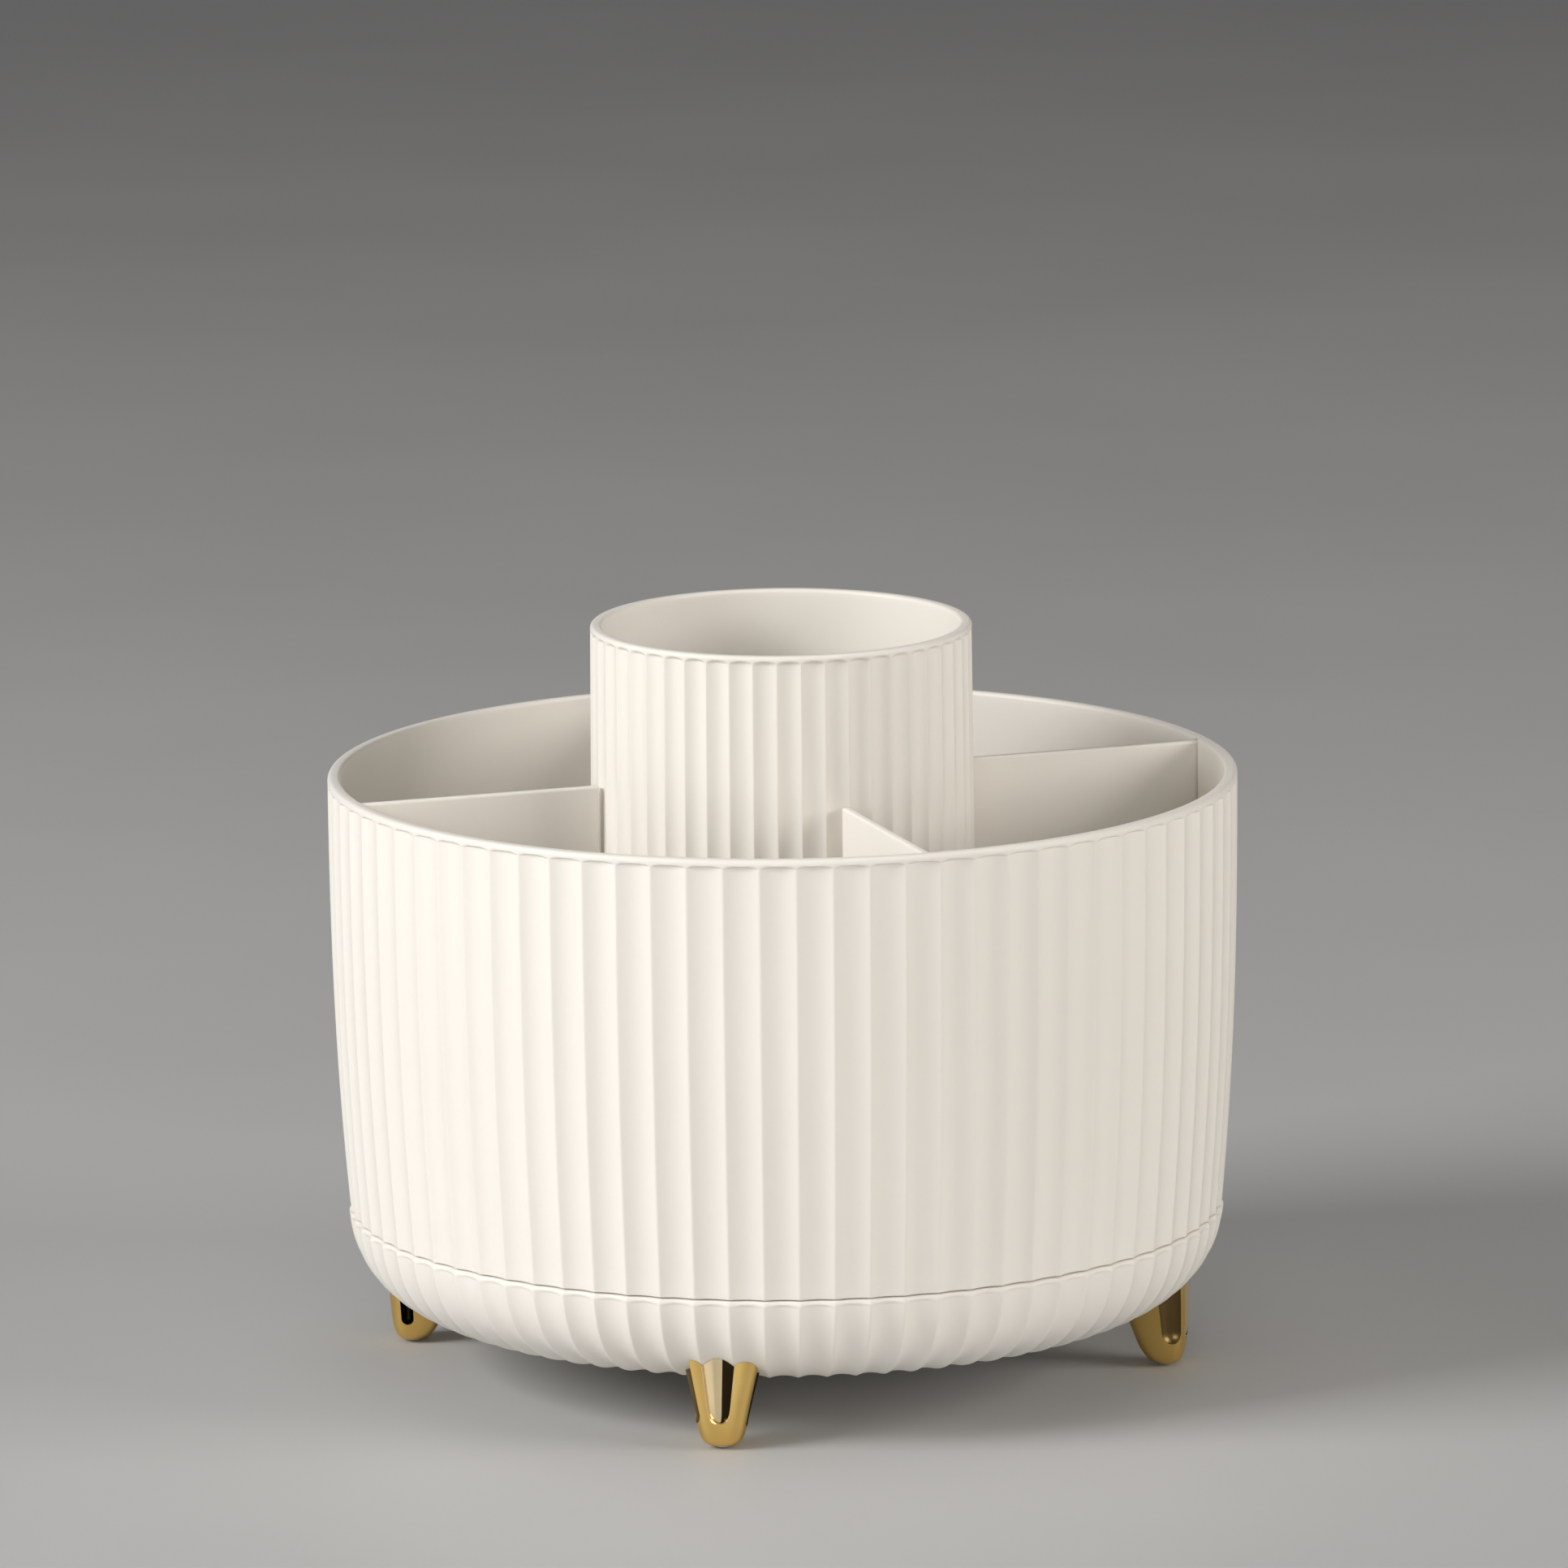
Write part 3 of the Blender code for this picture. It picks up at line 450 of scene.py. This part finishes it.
def build_foot():
    """One foot, on +X."""
    levels = [(0.35, 0.90), (0.355, 0.95), (0.38, 0.985), (0.43, 1.0)]
    levels += [(z, 1.0) for z in (0.52, 0.65, 0.8, 1.0, 1.25, 1.55, 1.9, 2.3, 2.8, 3.4, 4.1, 4.9, 5.8, 6.8, 7.9, 9.1, 10.4, 11.8, 13.4, 15.1, 17.0, 19.0)]
    ob = open_grid("foot_skin", np.array([foot_ring(z, size) for z, size in levels]))
    outward(ob)
    ob.data.materials.append(MATS["gold"])
    ob.data.materials.append(MATS["gold_bright"])

    def groove(x, y, top_r, low_r, z_end, lean=0.0, stretch=1.0, finish="gold_bright"):
        tool = rod(low_r, z_end, 21.0, (x, y), 96, top_r)
        end_bm = bmesh.new()
        bmesh.ops.create_uvsphere(end_bm, u_segments=96, v_segments=48, radius=low_r * 0.999 * MM, matrix=Matrix.Translation((x * MM, y * MM, z_end * MM)))
        mesh = bpy.data.meshes.new("end")
        end_bm.to_mesh(mesh)
        end_bm.free()
        end = bpy.data.objects.new("end", mesh)
        bpy.context.scene.collection.objects.link(end)
        cut(tool, [end], "UNION")
        for v in tool.data.vertices:
            v.co.y = y * MM + (v.co.y - y * MM) * stretch + lean * (v.co.z - z_end * MM)
        tool.data.materials.clear()
        tool.data.materials.append(MATS[finish])
        tool.data.shade_smooth()
        return tool

    pocket = open_grid("pocket", np.array([
        [(outer_face(z) - RIB_SINK - 0.05, -half, z), (80.0, -half, z), (80.0, half, z), (outer_face(z) - RIB_SINK - 0.05, half, z)]
        for z, half, crest in RIB]))
    rib = open_grid("rib", np.array([
        [(73.5, -(half - RIB_GAP), z + 0.1), (outer_face(z) - RIB_SINK, -(half - RIB_GAP), z + 0.1),
         (outer_face(z) + crest, -half * RIB_CREST, z + 0.1), (outer_face(z) + crest, half * RIB_CREST, z + 0.1),
         (outer_face(z) - RIB_SINK, half - RIB_GAP, z + 0.1), (73.5, half - RIB_GAP, z + 0.1)]
        for z, half, crest in RIB]))
    for tool in (pocket, rib):
        outward(tool)
        tool.data.materials.append(MATS["gold_bright"])
    rib.data.materials.append(MATS["gold_painted_dark"])      # the rib's facet on the slot's side, painted near-black as a painted dark reflection
    rib.data.update()
    for face in rib.data.polygons:
        if face.normal.y > 0.15 and face.normal.x > 0.3:
            face.material_index = 1
    # the narrow slot is painted near-black and the broad cove dark brown: painted dark reflection and shade
    cut(ob, [pocket, groove(74.65, -6.8, 4.1, 3.15, 7.2, -0.252, 1.0, "gold_painted_shade"), groove(72.2, 5.1, 1.5, 1.2, 5.0, 0.23, 1.8, "gold_painted_dark")])
    bevelled(ob, 0.13, 3, 38)
    bevelled(rib, 0.09, 2, 14)
    cut(ob, [rib], "UNION")
    # the top is scribed to the fluted underside of the base
    a, t = flute_columns(FLUTES, 0.0)
    h = flute_hollow(t)
    rows = []
    for z in np.concatenate([np.linspace(26.0, 20.0, 7), bowl_levels(19.0, 22)]):
        r, low = base_point(z, h, 0.08)
        rows.append(ring_from(r, low, a))
    rows.append(ring_from(BOWL_FLAT, BASE_LOW - 0.08, a))
    clear = open_grid("clear", np.array(rows))
    outward(clear)
    cut(ob, [clear])
    return ob


def build_screw(name, az):
    """A pan-head screw with a cross recess, head down, in its counterbore under the base."""
    head = [(0.001, -1.4)] + arc(1.7, -0.2, 1.2, -90, 0, 8)
    thread = []
    for k in range(11):
        z = 0.7 + 0.62 * k
        thread += [(1.25, z - 0.22), (1.25, z - 0.04), (0.98, z + 0.13), (0.98, z + 0.2)]
    ob = turned(name, head + [(2.9, 0.0), (1.25, 0.0)] + thread + [(0.55, 7.6), (0.001, 7.6)], 64)
    slots = []
    for turn in (0, 90):
        tool = rod(1.0, -2.0, -0.45, (0, 0), 4, 0.72)
        tool.data.transform(Matrix.Rotation(math.radians(45), 4, "Z"))
        tool.data.transform(Matrix.Diagonal((2.1, 0.42, 1.0, 1.0)))
        tool.data.transform(Matrix.Rotation(math.radians(turn + az), 4, "Z"))
        slots.append(tool)
    cut(ob, slots)
    x, y = polar(36.0, az)
    ob.data.transform(Matrix.Translation((x * MM, y * MM, 12.55 * MM)))
    return ob


# ------------------------------------------------------------------ materials
MATS = {}


def new_material(name):
    mat = bpy.data.materials.new(name)
    mat.use_nodes = True
    nt = mat.node_tree
    shader = nt.nodes["Principled BSDF"]
    coords = nt.nodes.new("ShaderNodeTexCoord")
    return mat, nt, shader, coords


def noise(nt, coords, scale, detail=4.0, rough=0.5, stretch=None):
    node = nt.nodes.new("ShaderNodeTexNoise")
    node.inputs["Scale"].default_value = scale
    node.inputs["Detail"].default_value = detail
    node.inputs["Roughness"].default_value = rough
    source = coords.outputs["Object"]
    if stretch:
        mapping = nt.nodes.new("ShaderNodeMapping")
        mapping.inputs["Scale"].default_value = stretch
        nt.links.new(source, mapping.inputs["Vector"])
        source = mapping.outputs["Vector"]
    nt.links.new(source, node.inputs["Vector"])
    return node


def span(nt, source, lo, hi, from_lo=0.3, from_hi=0.7):
    node = nt.nodes.new("ShaderNodeMapRange")
    node.inputs["From Min"].default_value = from_lo
    node.inputs["From Max"].default_value = from_hi
    node.inputs["To Min"].default_value = lo
    node.inputs["To Max"].default_value = hi
    nt.links.new(source, node.inputs["Value"])
    return node.outputs["Result"]


def blend_colour(nt, factor, a, b):
    node = nt.nodes.new("ShaderNodeMix")
    node.data_type = "RGBA"
    node.inputs[6].default_value = (*a, 1)
    node.inputs[7].default_value = (*b, 1)
    nt.links.new(factor, node.inputs[0])
    return node.outputs[2]


def bump(nt, shader, height, strength, distance):
    node = nt.nodes.new("ShaderNodeBump")
    node.inputs["Strength"].default_value = strength
    node.inputs["Distance"].default_value = distance
    nt.links.new(height, node.inputs["Height"])
    nt.links.new(node.outputs["Normal"], shader.inputs["Normal"])
    return node


def make_cream():
    mat, nt, sh, co = new_material("cream_plastic_satin")
    cloud = noise(nt, co, 18.0, 3.0)
    fine = noise(nt, co, 2600.0, 3.0, 0.6)
    mid = noise(nt, co, 420.0, 4.0, 0.55)
    colour = blend_colour(nt, span(nt, cloud.outputs["Fac"], 0.0, 1.0), (0.850, 0.815, 0.755), (0.875, 0.842, 0.785))
    nt.links.new(colour, sh.inputs["Base Color"])
    nt.links.new(span(nt, mid.outputs["Fac"], 0.40, 0.50), sh.inputs["Roughness"])
    bump(nt, sh, fine.outputs["Fac"], 0.10, 0.00006)
    sh.inputs["IOR"].default_value = 1.5
    sh.inputs["Specular IOR Level"].default_value = 0.45
    sh.inputs["Subsurface Weight"].default_value = 0.08
    sh.inputs["Subsurface Radius"].default_value = (1.0, 0.75, 0.5)
    sh.inputs["Subsurface Scale"].default_value = 0.0012
    return mat


def make_gold(name, low, high, rough_low, rough_high, bump_strength):
    mat, nt, sh, co = new_material(name)
    cloud = noise(nt, co, 60.0, 3.0)
    fine = noise(nt, co, 3000.0, 2.0, 0.6)
    smear = noise(nt, co, 260.0, 5.0, 0.6, (1.0, 1.0, 0.25))
    nt.links.new(blend_colour(nt, span(nt, cloud.outputs["Fac"], 0.0, 1.0), low, high), sh.inputs["Base Color"])
    nt.links.new(span(nt, smear.outputs["Fac"], rough_low, rough_high), sh.inputs["Roughness"])
    sh.inputs["Metallic"].default_value = 1.0
    bump(nt, sh, fine.outputs["Fac"], bump_strength, 0.00003)
    return mat


def make_steel():
    mat, nt, sh, co = new_material("zinc_steel_fine")
    grain = noise(nt, co, 900.0, 4.0, 0.6)
    cloud = noise(nt, co, 140.0, 3.0)
    nt.links.new(blend_colour(nt, span(nt, cloud.outputs["Fac"], 0.0, 1.0), (0.52, 0.53, 0.55), (0.64, 0.65, 0.67)), sh.inputs["Base Color"])
    nt.links.new(span(nt, grain.outputs["Fac"], 0.22, 0.38), sh.inputs["Roughness"])
    sh.inputs["Metallic"].default_value = 1.0
    bump(nt, sh, grain.outputs["Fac"], 0.08, 0.00003)
    return mat


def make_acetal():
    mat, nt, sh, co = new_material("white_acetal_fine")
    cloud = noise(nt, co, 40.0, 3.0)
    fine = noise(nt, co, 1800.0, 3.0, 0.6)
    nt.links.new(blend_colour(nt, span(nt, cloud.outputs["Fac"], 0.0, 1.0), (0.80, 0.80, 0.78), (0.86, 0.86, 0.85)), sh.inputs["Base Color"])
    nt.links.new(span(nt, fine.outputs["Fac"], 0.30, 0.42), sh.inputs["Roughness"])
    bump(nt, sh, fine.outputs["Fac"], 0.06, 0.00004)
    return mat


def make_pad():
    mat, nt, sh, co = new_material("clear_pad_soft")
    fine = noise(nt, co, 1500.0, 4.0, 0.6)
    cloud = noise(nt, co, 200.0, 3.0)
    nt.links.new(blend_colour(nt, span(nt, cloud.outputs["Fac"], 0.0, 1.0), (0.66, 0.66, 0.63), (0.74, 0.74, 0.71)), sh.inputs["Base Color"])
    nt.links.new(span(nt, fine.outputs["Fac"], 0.45, 0.60), sh.inputs["Roughness"])
    bump(nt, sh, fine.outputs["Fac"], 0.15, 0.00005)
    sh.inputs["Subsurface Weight"].default_value = 0.2
    sh.inputs["Subsurface Radius"].default_value = (1.0, 1.0, 0.9)
    sh.inputs["Subsurface Scale"].default_value = 0.001
    return mat


MATS["cream"] = make_cream()
MATS["gold"] = make_gold("gold_plating_satin", (0.80, 0.54, 0.165), (0.86, 0.60, 0.205), 0.30, 0.37, 0.05)
MATS["gold_bright"] = make_gold("gold_plating_bright", (0.93, 0.74, 0.43), (0.96, 0.79, 0.50), 0.20, 0.24, 0.01)
# dark brown gold for the broad cove: painted shade and dark reflection, not the plating's own colour
MATS["gold_painted_shade"] = make_gold("gold_plating_painted_shade", (0.17, 0.115, 0.045), (0.22, 0.15, 0.06), 0.33, 0.40, 0.02)
# near-black gold for the narrow slot and the rib's facet: painted dark reflection and shade, not the plating's own
# colour
MATS["gold_painted_dark"] = make_gold("gold_plating_painted_dark", (0.022, 0.015, 0.007), (0.035, 0.024, 0.011), 0.30, 0.40, 0.02)
MATS["steel"] = make_steel()
MATS["acetal"] = make_acetal()
MATS["pad"] = make_pad()
SLOT_MATS = {"cream_plastic": "cream", "gold_plating": "gold", "zinc_steel": "steel", "white_acetal": "acetal", "clear_pad": "pad"}


def finish(ob, mat, node, body, slot, angle=40):
    if mat:
        ob.data.materials.clear()
        ob.data.materials.append(MATS[mat])
    smooth(ob, angle)
    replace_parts(ob, *node) if isinstance(node, (list, tuple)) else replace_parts(ob, node)
    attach(ob, body)


# ------------------------------------------------------------------ camera
# the view is square on to the back left to front right of the feet by a tenth of a turn
TARGET = Vector((0, 0, 60.0)) * MM
DIST, ELEV, TURN, ROLL = 2.2, 12.57, 9.66, -0.55
e, w = math.radians(ELEV), math.radians(TURN)
cam_pos = TARGET + DIST * Vector((math.sin(w) * math.cos(e), -math.cos(w) * math.cos(e), math.sin(e)))
look = (TARGET - cam_pos).normalized()
right = look.cross(Vector((0, 0, 1))).normalized()
up = right.cross(look).normalized()
F_PX, SIZE_PX, AIM_X, AIM_Y = 14429.8, 1932.0, 967.1, 1281.9
cr, sr = math.cos(math.radians(ROLL)), math.sin(math.radians(ROLL))
roll_right = (cr * right + sr * up).normalized()
roll_up = (-sr * right + cr * up).normalized()
# aims past the object so that it sits low in the frame, with the lens square to the film
aim = (look * F_PX + roll_right * (SIZE_PX / 2 - AIM_X) + roll_up * (AIM_Y - SIZE_PX / 2)).normalized()
cam_right = aim.cross(roll_up).normalized()
cam_up = cam_right.cross(aim).normalized()
cam_data = bpy.data.cameras.new("camera")
cam_data.sensor_width = 36.0
cam_data.lens = F_PX / SIZE_PX * 36.0
cam_data.clip_start, cam_data.clip_end = 0.1, 20.0
camera = bpy.data.objects.new("camera", cam_data)
basis = Matrix((cam_right, cam_up, -aim)).transposed().to_4x4()
camera.matrix_world = Matrix.Translation(cam_pos) @ basis
bpy.context.scene.collection.objects.link(camera)
bpy.context.scene.camera = camera

# ------------------------------------------------------------------ build
tub = build_tub()
grooves = [plate("groove", divider_outline(-1.5, 0.8, 33.9, 115.5, 1.2), 2.2, az) for az in DIVIDERS.values()]
cut(tub, grooves)
finish(tub, "cream", "outer_tub", "carousel", "cream_plastic", 50)

cup = build_cup()
finish(cup, "cream", "center_cup", "carousel", "cream_plastic", 50)

for node, az in DIVIDERS.items():
    panel = plate(node + "_skin", divider_outline(0.35, 0.5, DIV_LOW, DIV_TOP, 1.4), DIV_T, az)
    bevelled(panel, 0.45, 4)
    finish(panel, "cream", node, node, "cream_plastic", 40)

base = build_base()
tools = []
for az in (45, 135, 225, 315):
    x, y = polar(36.0, az)
    tools += [rod(3.4, 9.0, 12.8, (x, y)), rod(1.8, 9.0, 16.0, (x, y))]
cut(base, tools)
finish(base, "cream", "base_shell", "base", "cream_plastic", 50)

first_foot = build_foot()
for side, az in FOOT_AZ.items():
    mesh = first_foot.data.copy()
    mesh.transform(Matrix.Rotation(math.radians(az), 4, "Z"))
    foot = bpy.data.objects.new("foot_%s_skin" % side, mesh)
    bpy.context.scene.collection.objects.link(foot)
    finish(foot, None, "foot_" + side, "base", "gold_plating", 35)
bpy.data.objects.remove(first_foot, do_unlink=True)

for i, az in enumerate(FOOT_AZ.values(), 1):
    pad = turned("foot_pad_%d_skin" % i, [(0.001, 0.0)] + arc(1.18, 0.2, 0.2, -90, 0, 6) + [(1.38, 1.2), (0.001, 1.2)], 48)
    pad.data.transform(Matrix.Rotation(math.radians(az), 4, "Z") @ Matrix.Translation((71.9 * MM, 0, 0)))
    finish(pad, "pad", "foot_pad_%d" % i, "base", "clear_pad", 40)

for i, az in enumerate((45, 135, 225, 315), 1):
    finish(build_screw("base_screw_%d_skin" % i, az), "steel", "base_screw_%d" % i, "base", "zinc_steel", 35)

for entry in frame["record"]["subparts"]:
    ob = frame["nodes"].get(entry["node"])
    if ob is None or ob.type != "MESH":
        continue
    mat = MATS[SLOT_MATS[entry["material_slot"]]]
    if len(ob.material_slots) == 0:
        ob.data.materials.append(mat)
    for slot in ob.material_slots:
        slot.material = mat

# ------------------------------------------------------------------ floor, backdrop and light
def make_floor():
    mat, nt, sh, co = new_material("studio_floor")
    cloud = noise(nt, co, 6.0, 4.0)
    nt.links.new(blend_colour(nt, span(nt, cloud.outputs["Fac"], 0.0, 1.0), (0.48, 0.48, 0.48), (0.51, 0.51, 0.51)), sh.inputs["Base Color"])
    sh.inputs["Roughness"].default_value = 0.6
    return mat


floor_mesh = bpy.data.meshes.new("studio_floor")
bm = bmesh.new()
bmesh.ops.create_grid(bm, x_segments=1, y_segments=1, size=6.0)
bm.to_mesh(floor_mesh)
bm.free()
floor = bpy.data.objects.new("studio_floor", floor_mesh)
floor.location.z = -0.0002
floor_mesh.materials.append(make_floor())
bpy.context.scene.collection.objects.link(floor)


def area(name, place, aim_at, size, power, colour=(1, 1, 1), size_y=None):
    data = bpy.data.lights.new(name, "AREA")
    data.energy = power
    data.color = colour
    data.size = size
    if size_y:
        data.shape = "RECTANGLE"
        data.size_y = size_y
    ob = bpy.data.objects.new(name, data)
    ob.location = place
    ob.rotation_euler = (Vector(aim_at) - Vector(place)).to_track_quat("-Z", "Y").to_euler()
    bpy.context.scene.collection.objects.link(ob)
    return ob


area("key", (-1.45, -0.95, 1.05), (0, 0, 0.07), 0.9, 34.5, (1.0, 0.99, 0.975))
area("top", (0.1, 0.2, 1.8), (0, 0, 0.05), 1.3, 4.0, (1.0, 0.99, 0.975))
area("fill", (1.75, -0.25, 0.75), (0, 0, 0.06), 0.9, 16.5, (1.0, 0.955, 0.90))
area("front", (0.3, -1.6, 0.2), (0, 0, 0.03), 0.7, 8.5, (1.0, 0.97, 0.93))

world = bpy.data.worlds.new("studio")
world.use_nodes = True
bg = world.node_tree.nodes["Background"]
bg.inputs["Color"].default_value = (0.72, 0.72, 0.72, 1)
bg.inputs["Strength"].default_value = 0.13
bpy.context.scene.world = world
bpy.context.scene.view_settings.view_transform = "Standard"

bpy.context.view_layer.update()
